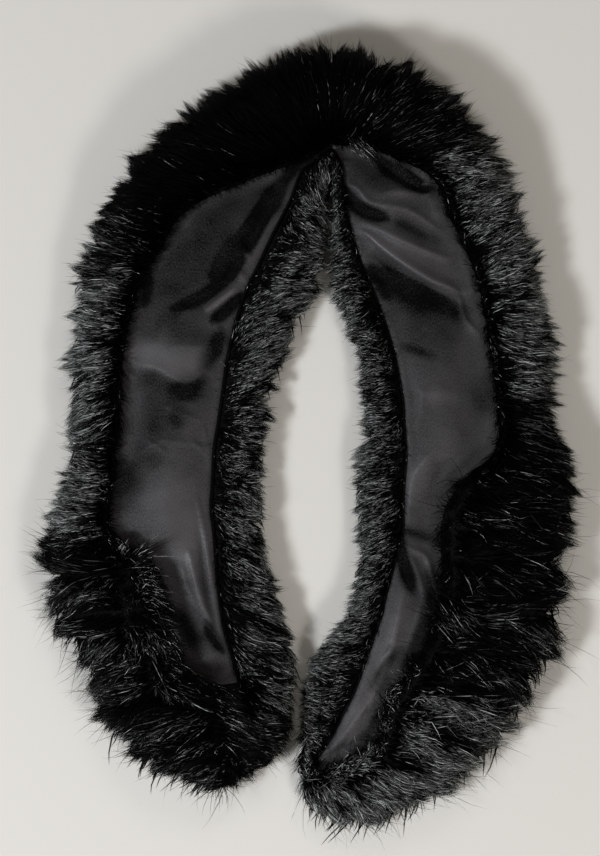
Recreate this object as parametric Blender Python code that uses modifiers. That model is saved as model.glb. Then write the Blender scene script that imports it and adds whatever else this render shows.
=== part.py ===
"""Fur collar wrap, laid flat with its satin lining up and bent into a tall loop.

A long strip is sewn from a fur shell and a satin lining, each in a left and a right half that meet at
the centre back. The outer half of the strip is turned over onto the lining round the back of the neck,
and both lower ends roll over in the same way. Every section across the strip is worked out from one row
of the tables below, and the solids are lofted through these sections.

Lengths in the tables are in millimetres and angles in degrees. +X is to the right, +Y is towards the
centre back, +Z is up, and the underside lies on Z = 0.
"""

import bmesh
import bpy
import numpy as np

COLLECTION = "fur_collar_wrap"
MM = 0.001

# Cloth and seams
WALL = 1.2
SEAM_GAP = 0.3
LIP_GAP = 0.5
LINING_WIDTH = 72.0
PILE_PAST_LINING = 38.0
LEAST_LAP = 3.0
LINING_SWELL = 4.0
SWELL_POWER = 1.5
FULL_SHOWN = 65.0

# Mesh steps
STEPS_PER_ROW = 2
LINING_CELLS = 10
LIP_CELLS = 3

# Fur that crosses the line where both halves press on each other is held back by half of this gap
MEETING_GAP = 0.7
MEETING_TRIES = 8
MEETING_LINE = (
    # y, x
    (-300.0, -14.0),
    (-218.0, -9.0),
    (-192.0, -8.5),
    (-166.0, -7.0),
    (-144.0, -5.0),
    (-108.0, -4.5),
    (9.0, 1.5),
    (97.0, 8.0),
    (120.0, 13.0),
    (170.0, 13.7),
    (300.0, 13.7),
)

# One row is one section across the strip, from the centre back to the free end:
# seam_x, seam_y: where the neck seam is
# bearing: the way across the strip from the neck seam to the outline, from +X towards +Y
# neck_fur: width of the fur on the neck side of the seam
# reach: distance from the seam to the outline of the fur
# shown: width of lining that shows
# crown: height of the outer fur
# bed: height at which the lining lies
COLUMNS = ("seam_x", "seam_y", "bearing", "neck_fur", "reach", "shown", "crown", "bed")

LEFT_ROWS = (
    (14, 185, 90, 14, 71, 1, 60, 24),
    (5, 178, 118, 19, 76, 1, 61, 24),
    (-5, 170, 142, 23, 81, 5, 60, 24),
    (-12, 152, 158, 28, 102, 29, 56, 23),
    (-23, 131, 167, 38, 113, 57, 48, 22),
    (-32, 112, 174, 42, 116, 64, 41, 21),
    (-42, 91, 177, 49, 113, 67, 37, 20),
    (-48, 72, 179, 42, 108, 67, 36, 20),
    (-53, 51, 180, 40, 106, 66, 37, 20),
    (-56, 30, 181, 32, 103, 65, 35, 20),
    (-59, 9, 181, 35, 101, 63, 36, 20),
    (-62, -10, 181, 36, 96, 62, 35, 19),
    (-63, -30, 181, 36, 103, 62, 37, 19),
    (-64, -48, 181, 37, 107, 64, 39, 19),
    (-62, -66, 183, 35, 113, 62, 42, 19),
    (-61, -81, 183, 36, 114.5, 40, 47, 19),
    (-60, -95, 185, 37, 115, 35, 50, 19),
    (-58, -112, 185, 43, 116, 34, 51, 19),
    (-55, -129, 187, 43, 101, 35, 50, 19),
    (-50, -146, 187, 44, 98, 33, 49, 19),
    (-46, -161, 188, 40, 98, 30, 48, 18),
    (-44, -176, 188, 36, 94, 2, 45, 27),
    (-42, -191, 188, 34, 80, 2, 42, 32),
    (-44, -207, 190, 32, 61, 2, 37, 29),
    (-47, -218, 193, 22, 33, 2, 28, 22),
    (-50, -226, 205, 9, 11, 2, 15, 11),
)

RIGHT_ROWS = (
    (14, 185, 90, 14, 71, 1, 60, 24),
    (18, 179, 69, 12, 75, 6, 61, 24),
    (20, 172, 46, 8, 86, 18, 60, 24),
    (21, 161, 27, 8, 98, 36, 57, 23),
    (22, 150, 14, 8, 108, 58, 50, 23),
    (26, 131, 6, 13, 116, 64, 43, 22),
    (32, 113, 3, 22, 117, 68, 39, 21),
    (40, 95, 1, 30, 112, 67, 37, 20),
    (47, 76, 0, 28, 113, 64, 38, 20),
    (53, 57, 0, 27, 109, 61, 37, 20),
    (57, 39, -1, 27, 102, 60, 36, 20),
    (60, 21, -1, 30, 101, 59, 36, 20),
    (61, 3, -1, 28, 105, 60, 38, 20),
    (62, -14, -1, 33, 112, 53, 43, 20),
    (61, -30, -1, 34, 114, 36, 48, 19),
    (60, -47, -1, 33, 115, 26, 51, 19),
    (60, -62, -1, 31, 113, 23, 51, 19),
    (56, -79, -3, 27, 113, 27, 50, 19),
    (50, -100, -5, 21, 119, 33, 49, 19),
    (46, -117, -8, 23, 120, 32, 48, 19),
    (40, -135, -13, 30, 116, 30, 47, 19),
    (34, -152, -19, 34, 108, 24, 46, 18),
    (28, -168, -25, 34, 100, 20, 45, 18),
    (21, -182, -31, 32, 88, 25, 43, 17),
    (14, -196, -37, 27, 76, 20, 40, 16),
    (7, -207, -49, 21, 62, 11, 35, 14),
    (2, -214, -62, 12, 46, 6, 28, 12),
    (-5, -220, -82, 8, 18, 2, 16, 12),
)

LEFT_LINING_ROWS = 21
RIGHT_LINING_ROWS = 27

# The outer fur, from the lip that laps the lining to the floor. Across runs from the lip at 0 to the
# outline at 1. Up runs from the lining at 0 to the crown at 1, and in the second table from the floor
# at 0 to the lining at 1.
OUTER_ABOVE = (
    (0.00, 0.08),
    (0.05, 0.40),
    (0.15, 0.70),
    (0.31, 0.92),
    (0.50, 1.00),
    (0.68, 0.94),
    (0.83, 0.74),
    (0.94, 0.40),
)
OUTER_BELOW = ((1.00, 0.85), (1.00, 0.45), (0.97, 0.15), (0.90, 0.0))

# The neck fur, from the floor to the seam. Across runs from the seam at 0 to the neck edge at 1, and up
# runs from the floor at 0 to the neck fur's crown at 1.
NECK_ROLL = (
    (0.90, 0.0),
    (0.97, 0.10),
    (1.00, 0.33),
    (0.97, 0.55),
    (0.88, 0.78),
    (0.70, 0.95),
    (0.50, 1.00),
    (0.30, 0.95),
    (0.12, 0.82),
)
NECK_RISE = 10.0
SEAM_DEPTH = 1.5

# The largest folds of the lining, each along a straight line. A positive height is a ridge of cloth, and
# a negative one is a trough that the fur below follows.
FOLD_COLUMNS = ("from_x", "from_y", "to_x", "to_y", "height", "half_width")
LEFT_FOLDS = (
    (-34, 135, -82, 85, -5.0, 9.0),
    (-67, 83, -44, 95, 3.5, 6.0),
    (-110, 51, -62, 55, 3.5, 11.0),
    (-110, 42, -68, 36, -2.5, 5.0),
    (-92, 26, -71, 17, -2.5, 6.0),
    (-110, -3, -67, -13, -2.0, 5.0),
    (-73, -34, -66, -95, 3.5, 6.0),
    (-66, -95, -58, -133, 3.0, 6.0),
)
RIGHT_FOLDS = (
    (18, 164, 38, 151, 3.5, 6.0),
    (38, 151, 81, 159, 3.5, 6.0),
    (38, 151, 95, 125, 3.0, 6.0),
    (20, 156, 51, 138, -3.0, 6.0),
    (28, 132, 89, 114, 3.5, 6.0),
    (38, 130, 99, 90, 3.0, 6.0),
    (63, -24, 85, 0, 3.5, 9.0),
    (60, -64, 75, -112, 4.0, 6.0),
    (63, -96, 41, -157, 3.0, 7.0),
    (41, -157, 10, -200, 2.5, 6.0),
)
FOLD_FADE = 8.0

# Colour, roughness and metallic value of each cloth
FUR_LOOK = ((0.010, 0.011, 0.012, 1.0), 0.75, 0.0)
LINING_LOOK = ((0.022, 0.024, 0.027, 1.0), 0.38, 0.0)


def clear_scene():
    for item in list(bpy.data.objects):
        bpy.data.objects.remove(item, do_unlink=True)


def material(name, look):
    colour, roughness, metallic = look
    made = bpy.data.materials.new(name)
    made.use_nodes = True
    shader = made.node_tree.nodes["Principled BSDF"]
    shader.inputs["Base Color"].default_value = colour
    shader.inputs["Roughness"].default_value = roughness
    shader.inputs["Metallic"].default_value = metallic
    return made


def resampled(rows):
    """Smooth curves through the rows' columns, as one array for each column."""
    table = np.array(rows, float)
    padded = np.vstack([2 * table[0] - table[1], table, 2 * table[-1] - table[-2]])
    places = np.linspace(0, len(table) - 1, (len(table) - 1) * STEPS_PER_ROW + 1)
    index = np.minimum(places.astype(int), len(table) - 2)
    t = (places - index)[:, None]
    p0, p1, p2, p3 = (padded[index + k] for k in range(4))
    curve = (
        2 * p1
        + (p2 - p0) * t
        + (2 * p0 - 5 * p1 + 4 * p2 - p3) * t**2
        + (3 * p1 - p0 - 3 * p2 + p3) * t**3
    ) / 2
    return dict(zip(COLUMNS, curve.T))


def meeting_x(y):
    line = np.array(MEETING_LINE)
    return np.interp(y, line[:, 0], line[:, 1])


class Half:
    """One half of the strip: the curves along it, and points across it."""

    def __init__(self, rows, folds, lining_rows, side):
        curves = resampled(rows)
        self.side = side
        self.lining_stations = (lining_rows - 1) * STEPS_PER_ROW + 1
        self.folds = np.array(folds, float)
        self.x = curves["seam_x"] + side * MEETING_GAP / 2 * (curves["seam_y"] > 180)
        self.y = curves["seam_y"]
        bearing = np.radians(curves["bearing"])
        self.across = np.stack([np.cos(bearing), np.sin(bearing)])
        self.reach = curves["reach"]
        self.shown = np.clip(curves["shown"], 1.0, None)
        self.crown = curves["crown"]
        self.bed = curves["bed"]
        free = np.maximum(self.reach - PILE_PAST_LINING, self.shown + LEAST_LAP)
        self.lining = np.minimum(free, LINING_WIDTH)
        past_lining = slice(self.lining_stations + 1, None)
        self.lining[past_lining] = self.shown[past_lining] + LEAST_LAP
        self.neck_fur = self.held_back(curves["neck_fur"])

    def held_back(self, width):
        """The neck fur's width, cut short where it would cross the meeting line."""
        crosses = self.across[0] * self.side > 0.2
        slope = np.where(crosses, self.across[0], 1.0)
        distance = width.copy()
        for _ in range(MEETING_TRIES):
            wall = meeting_x(self.y - self.across[1] * distance) + self.side * MEETING_GAP / 2
            distance = np.where(crosses, np.minimum(width, (self.x - wall) / slope), width)
        return distance

    def plan(self, u):
        """The X and Y of points at the distances u from the neck seam."""
        return self.x + self.across[0] * u, self.y + self.across[1] * u

    def folded(self, u, kind):
        """The height of the ridges or the troughs at the distances u from the neck seam."""
        x, y = self.plan(u)
        total = np.zeros_like(x)
        for from_x, from_y, to_x, to_y, height, half_width in self.folds:
            if height * kind <= 0:
                continue
            along_x, along_y = to_x - from_x, to_y - from_y
            length2 = along_x**2 + along_y**2
            t = np.clip(((x - from_x) * along_x + (y - from_y) * along_y) / length2, 0, 1)
            distance = np.hypot(x - from_x - t * along_x, y - from_y - t * along_y)
            total = total + height * np.exp(-((distance / half_width) ** 2))
        near_lip = np.clip((self.shown - FOLD_FADE - u) / FOLD_FADE, 0, 1)
        near_seam = np.clip(u / FOLD_FADE, 0, 1)
        return total * near_lip * near_seam

    def lining_base(self, u):
        """The height of the fur's valley below the lining: a low swell where it shows, with troughs."""
        swell = LINING_SWELL * np.clip(self.shown / FULL_SHOWN, 0, 1)
        span = np.maximum(self.shown - FOLD_FADE, LEAST_LAP)
        arch = np.sin(np.pi * np.clip(u / span, 0, 1)) ** SWELL_POWER
        return self.bed - SEAM_GAP + swell * arch + self.folded(u, -1)

    def lining_u(self):
        """Distances from the neck seam of the lining's lines, one row for each."""
        steps = np.linspace(0, 1, LINING_CELLS + 1)[:, None]
        return SEAM_GAP + (self.lining - SEAM_GAP) * steps

    def lining_surface(self):
        """The lining's lower face as an array of points, by line across and section along."""
        lines = []
        for u in self.lining_u():
            x, y = self.plan(u)
            z = self.lining_base(u) + SEAM_GAP + self.folded(u, 1)
            lines.append(np.stack([x, y, z], axis=-1)[: self.lining_stations])
        return np.stack(lines)

    def fur_sections(self):
        """The fur shell's closed sections as an array of points, by place round and section along."""
        lap = self.reach - self.shown
        slot_top = self.lining_base(self.shown) + SEAM_GAP + WALL + LIP_GAP
        loop = []
        # The valley that the lining lies in, from the neck seam to the lining's hidden edge
        valley = self.lining_u()
        valley[0] = 0.0
        valley[-1] += SEAM_GAP
        for u in valley:
            loop.append((u, self.lining_base(u)))
        # The underside of the lip, back to where the lining shows
        for step in np.linspace(1, 0, LIP_CELLS + 1):
            u = self.shown + (self.lining + SEAM_GAP - self.shown) * step
            loop.append((u, self.lining_base(u) + SEAM_GAP + WALL + LIP_GAP))
        for across, up in OUTER_ABOVE:
            loop.append((self.shown + lap * across, slot_top + (self.crown - slot_top) * up))
        for across, up in OUTER_BELOW:
            loop.append((self.shown + lap * across, slot_top * up))
        loop.append((self.lining / 2, np.zeros_like(lap)))
        neck_crown = np.minimum(self.bed + NECK_RISE, self.crown)
        for across, up in NECK_ROLL:
            loop.append((-self.neck_fur * across, neck_crown * up))
        loop.append((-SEAM_GAP * np.ones_like(lap), self.bed - SEAM_DEPTH))
        points = []
        for u, z in loop:
            x, y = self.plan(u)
            points.append(np.stack([x, y, z], axis=-1))
        return np.stack(points)


def put_in(collection, name, mesh, made):
    item = bpy.data.objects.new(name, mesh)
    collection.objects.link(item)
    mesh.materials.append(made)
    mesh.shade_smooth()
    return item


def lofted(name, sections):
    """A closed mesh through closed sections, with a flat face at both ends."""
    count, stations, _ = sections.shape
    form = bmesh.new()
    rings = [
        [form.verts.new(sections[place, station] * MM) for place in range(count)]
        for station in range(stations)
    ]
    for near, far in zip(rings, rings[1:]):
        for place in range(count):
            after = (place + 1) % count
            form.faces.new((near[place], near[after], far[after], far[place]))
    form.faces.new(rings[0])
    form.faces.new(rings[-1])
    bmesh.ops.recalc_face_normals(form, faces=form.faces)
    mesh = bpy.data.meshes.new(name)
    form.to_mesh(mesh)
    form.free()
    return mesh


def sheet(name, surface, upwards):
    """An open mesh through a grid of points, facing up."""
    lines, stations, _ = surface.shape
    form = bmesh.new()
    bmesh.ops.create_grid(form, x_segments=stations - 1, y_segments=lines - 1, size=1)
    for vert, place in zip(form.verts, surface.reshape(-1, 3)):
        vert.co = place * MM
    if not upwards:
        bmesh.ops.reverse_faces(form, faces=form.faces)
    mesh = bpy.data.meshes.new(name)
    form.to_mesh(mesh)
    form.free()
    return mesh


def with_wall(item):
    wall = item.modifiers.new("wall", "SOLIDIFY")
    wall.thickness = WALL * MM
    wall.offset = 1.0
    wall.use_even_offset = False


def main():
    clear_scene()
    collection = bpy.data.collections.new(COLLECTION)
    bpy.context.scene.collection.children.link(collection)
    fur = material("black_pile_fur", FUR_LOOK)
    satin = material("black_satin_lining", LINING_LOOK)
    halves = (
        ("left", LEFT_ROWS, LEFT_FOLDS, LEFT_LINING_ROWS, -1),
        ("right", RIGHT_ROWS, RIGHT_FOLDS, RIGHT_LINING_ROWS, 1),
    )
    for name, rows, folds, lining_rows, side in halves:
        half = Half(rows, folds, lining_rows, side)
        put_in(collection, f"fur_{name}", lofted(f"fur_{name}", half.fur_sections()), fur)
        lining = sheet(f"lining_{name}", half.lining_surface(), side > 0)
        with_wall(put_in(collection, f"lining_{name}", lining, satin))


main()
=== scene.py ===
"""The looks of a black fur collar wrap, laid flat with its satin lining up and bent into a tall loop.

The wrap is a strip of long-pile faux fur, lined with satin, in a left and a right half that meet at the
centre back. Every section across the strip comes from one row of the tables in Half, in millimetres and
degrees, and the fur cloth, its pile and the lining are all worked out from those sections.
"""

from __future__ import annotations

import logging
from dataclasses import dataclass, field
from enum import Enum
from typing import ClassVar

import bpy
import numpy as np
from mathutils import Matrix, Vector


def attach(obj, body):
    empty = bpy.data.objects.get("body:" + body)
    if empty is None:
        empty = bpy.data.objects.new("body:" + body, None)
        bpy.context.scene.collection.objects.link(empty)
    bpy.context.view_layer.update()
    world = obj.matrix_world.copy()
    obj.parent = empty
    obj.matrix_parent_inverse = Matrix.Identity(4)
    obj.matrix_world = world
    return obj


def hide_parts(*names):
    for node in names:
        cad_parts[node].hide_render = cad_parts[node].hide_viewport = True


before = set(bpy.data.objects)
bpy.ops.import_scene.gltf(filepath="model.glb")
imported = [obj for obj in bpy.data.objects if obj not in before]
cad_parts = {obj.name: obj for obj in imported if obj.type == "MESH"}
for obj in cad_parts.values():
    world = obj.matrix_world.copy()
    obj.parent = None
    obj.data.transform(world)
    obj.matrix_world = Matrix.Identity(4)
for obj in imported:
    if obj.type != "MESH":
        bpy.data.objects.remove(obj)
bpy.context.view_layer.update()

LOG = logging.getLogger("fur_collar_wrap")
MM = 0.001
BODY = "root"
Array = np.ndarray


class Side(Enum):
    """Which half of the strip, with the sign of X on which it lies."""

    LEFT = -1
    RIGHT = 1

    @property
    def word(self) -> str:
        """The side's name in node and piece names."""
        return self.name.lower()


def smooth_through(table: Array, places: Array) -> Array:
    """A Catmull-Rom curve through the rows of a table, read at fractional row numbers.

    Args:
        table: One row for each point, one column for each value.
        places: Row numbers to read at, in any shape.

    Returns:
        The values, in the shape of places with the columns last.
    """
    padded = np.vstack([2 * table[0] - table[1], table, 2 * table[-1] - table[-2]])
    index = np.clip(places.astype(int), 0, len(table) - 2)
    t = (places - index)[..., None]
    before, here, after, beyond = (padded[index + k] for k in range(4))
    return (
        2 * here
        + (after - before) * t
        + (2 * before - 5 * here + 4 * after - beyond) * t**2
        + (3 * here - before - 3 * after + beyond) * t**3
    ) / 2


@dataclass(frozen=True)
class Crease:
    """One crease of the lining: a soft ridge or trough along a smooth path."""

    height: float
    left: float
    right: float
    path: tuple[tuple[float, float], ...]
    cloth: ClassVar[float] = 0.6
    end_width: ClassVar[float] = 0.35
    fade_rate: ClassVar[float] = 5.0
    fade_power: ClassVar[float] = 0.7
    widths_felt: ClassVar[float] = 3.0
    steps_a_point: ClassVar[int] = 10

    def over(self, x: Array, y: Array, power: float = 1.5) -> Array:
        """The crease's height at points in plan.

        With d the distance from the path and w the flank's half width on that side, to which the cloth's
        stiffness adds its own, the height is height exp(-|d / w|^power), and it narrows and fades to
        nothing towards both ends of the path.

        Args:
            x: X of each point in millimetres.
            y: Y of each point in millimetres.
            power: How flat its top and how steep its flanks are.

        Returns:
            The height in millimetres.
        """
        steps = np.linspace(0, len(self.path) - 1, self.steps_a_point * len(self.path))
        line = smooth_through(np.array(self.path, float), steps)
        heading = np.gradient(line, axis=0)
        heading /= np.linalg.norm(heading, axis=-1, keepdims=True)
        reach = self.widths_felt * max(self.left, self.right)
        near = (x > line[:, 0].min() - reach) & (x < line[:, 0].max() + reach)
        near &= (y > line[:, 1].min() - reach) & (y < line[:, 1].max() + reach)
        away = np.stack([x[near], y[near]], axis=-1)[:, None] - line
        closest = np.argmin((away**2).sum(axis=-1), axis=1)
        away = away[np.arange(len(closest)), closest]
        heading = heading[closest]
        across = heading[:, 0] * away[:, 1] - heading[:, 1] * away[:, 0]
        past = (heading * away).sum(axis=-1)
        t = closest / (len(steps) - 1)
        fade = np.minimum(1.0, self.fade_rate * t * (1 - t)) ** self.fade_power
        flank = np.where(across > 0, self.left, self.right) + self.cloth
        flank = flank * (self.end_width + (1 - self.end_width) * fade)
        total = np.zeros_like(x)
        total[near] = self.height * fade * np.exp(-(np.abs(across / flank) ** power) - (past / flank) ** 2)
        return total


def creases(*rows: tuple[float, ...]) -> tuple[Crease, ...]:
    """Creases from rows of height, left and right half width, then X and Y of each point of the path."""
    return tuple(Crease(*row[:3], tuple(zip(row[3::2], row[4::2]))) for row in rows)


# Rows of the strip, one for each section from the centre back to the free end
ROW_COLUMNS = ("seam_x", "seam_y", "bearing", "neck_fur", "reach", "shown", "crown", "bed")
ROWS = {
    Side.LEFT: (
        (14, 185, 90, 14, 71, 1, 60, 24),
        (5, 178, 118, 19, 76, 1, 61, 24),
        (-5, 170, 142, 23, 81, 5, 60, 24),
        (-12, 152, 158, 28, 102, 29, 56, 23),
        (-23, 131, 167, 38, 113, 57, 48, 22),
        (-32, 112, 174, 42, 116, 64, 41, 21),
        (-42, 91, 177, 49, 113, 67, 37, 20),
        (-48, 72, 179, 42, 108, 67, 36, 20),
        (-53, 51, 180, 40, 106, 66, 37, 20),
        (-56, 30, 181, 32, 103, 65, 35, 20),
        (-59, 9, 181, 35, 101, 63, 36, 20),
        (-62, -10, 181, 36, 96, 62, 35, 19),
        (-63, -30, 181, 36, 103, 62, 37, 19),
        (-64, -48, 181, 37, 107, 64, 39, 19),
        (-62, -66, 183, 35, 113, 62, 42, 19),
        (-61, -81, 183, 36, 114.5, 40, 47, 19),
        (-60, -95, 185, 37, 115, 35, 50, 19),
        (-58, -112, 185, 43, 116, 34, 51, 19),
        (-55, -129, 187, 43, 101, 35, 50, 19),
        (-50, -146, 187, 44, 98, 33, 49, 19),
        (-46, -161, 188, 40, 98, 30, 48, 18),
        (-44, -176, 188, 36, 94, 2, 45, 27),
        (-42, -191, 188, 34, 80, 2, 42, 32),
        (-44, -207, 190, 32, 61, 2, 37, 29),
        (-47, -218, 193, 22, 33, 2, 28, 22),
        (-50, -226, 205, 9, 11, 2, 15, 11),
    ),
    Side.RIGHT: (
        (14, 185, 90, 14, 71, 1, 60, 24),
        (18, 179, 69, 12, 75, 6, 61, 24),
        (20, 172, 46, 8, 86, 18, 60, 24),
        (21, 161, 27, 8, 98, 36, 57, 23),
        (22, 150, 14, 8, 108, 58, 50, 23),
        (26, 131, 6, 13, 116, 64, 43, 22),
        (32, 113, 3, 22, 117, 68, 39, 21),
        (40, 95, 1, 30, 112, 67, 37, 20),
        (47, 76, 0, 28, 113, 64, 38, 20),
        (53, 57, 0, 27, 109, 61, 37, 20),
        (57, 39, -1, 27, 102, 60, 36, 20),
        (60, 21, -1, 30, 101, 59, 36, 20),
        (61, 3, -1, 28, 105, 60, 38, 20),
        (62, -14, -1, 33, 112, 53, 43, 20),
        (61, -30, -1, 34, 114, 36, 48, 19),
        (60, -47, -1, 33, 115, 26, 51, 19),
        (60, -62, -1, 31, 113, 23, 51, 19),
        (56, -79, -3, 27, 113, 27, 50, 19),
        (50, -100, -5, 21, 119, 33, 49, 19),
        (46, -117, -8, 23, 120, 32, 48, 19),
        (40, -135, -13, 30, 116, 30, 47, 19),
        (34, -152, -19, 34, 108, 24, 46, 18),
        (28, -168, -25, 34, 100, 20, 45, 18),
        (21, -182, -31, 32, 88, 25, 43, 17),
        (14, -196, -37, 27, 76, 20, 40, 16),
        (7, -207, -49, 21, 62, 11, 35, 14),
        (2, -214, -62, 12, 46, 6, 28, 12),
        (-5, -220, -82, 8, 18, 2, 16, 12),
    ),
}

# The last row that the lining reaches
LINING_END = {Side.LEFT: 20, Side.RIGHT: 26}

# How the pile lies, by row: how far the tips of the outer fur sweep towards the free end, where on the
# outer roll the pile parts (0 at the lip, 1 under the outline), how far the neck fur sweeps, how many
# painted grey glints the outer and the neck fur get, and how unevenly the tufts reach.
COMB_COLUMNS = ("row", "outer_sweep", "parting", "neck_sweep", "outer_glint", "neck_glint", "ragged")
COMB = {
    Side.LEFT: (
        (0, 2, 0.02, 3, 0.01, 0.30, 3),
        (2, 2, 0.02, 4, 0.00, 0.35, 4),
        (4, 0, 0.02, 3, 0.02, 0.45, 5),
        (5, -2, 0.04, 0, 0.15, 0.55, 5),
        (6.5, 0, 0.06, -8, 0.60, 0.80, 5),
        (8, 2, 0.06, -10, 0.80, 0.90, 5),
        (9, 8, 0.06, -4, 0.52, 0.60, 6),
        (10, 14, 0.06, 2, 0.25, 0.50, 6),
        (11, -3, 0.06, 3, 0.50, 0.55, 4),
        (13, 2, 0.08, 4, 0.50, 0.55, 4),
        (14.5, 4, 0.20, 8, 0.14, 0.32, 7),
        (16, 6, 0.30, 10, 0.18, 0.34, 8),
        (18, 10, 0.30, 10, 0.22, 0.38, 10),
        (20, 10, 0.25, 9, 0.18, 0.35, 12),
        (22, 9, 0.15, 6, 0.10, 0.15, 10),
        (25, 6, 0.15, 2, 0.20, 0.10, 7),
    ),
    Side.RIGHT: (
        (0, 2, 0.02, 3, 0.01, 0.35, 3),
        (2, 6, 0.02, 3, 0.07, 0.45, 5),
        (3, 6, 0.02, 3, 0.08, 0.45, 7),
        (4, 2, 0.03, 3, 0.48, 0.46, 5),
        (5, -6, 0.03, 3, 0.56, 0.44, 4),
        (6, -10, 0.04, 3, 0.50, 0.40, 5),
        (7.5, -2, 0.05, 3, 0.44, 0.36, 5),
        (9, 6, 0.05, 3, 0.40, 0.36, 5),
        (10.5, 3, 0.05, 3, 0.28, 0.42, 5),
        (12, 8, 0.06, 3, 0.06, 0.46, 5),
        (14, 8, 0.12, 5, 0.05, 0.42, 8),
        (16, 6, 0.15, 6, 0.07, 0.40, 8),
        (17.5, 5, 0.15, 7, 0.05, 0.42, 9),
        (18.5, 4, 0.15, 7, 0.15, 0.50, 9),
        (20, 2, 0.15, 7, 0.08, 0.45, 9),
        (21, -2, 0.15, 6, 0.30, 0.45, 9),
        (23, -6, 0.15, 4, 0.60, 0.50, 8),
        (25, -9, 0.15, 3, 1.60, 0.40, 6),
        (27, -8, 0.15, 2, 1.60, 0.30, 5),
    ),
}

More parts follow.
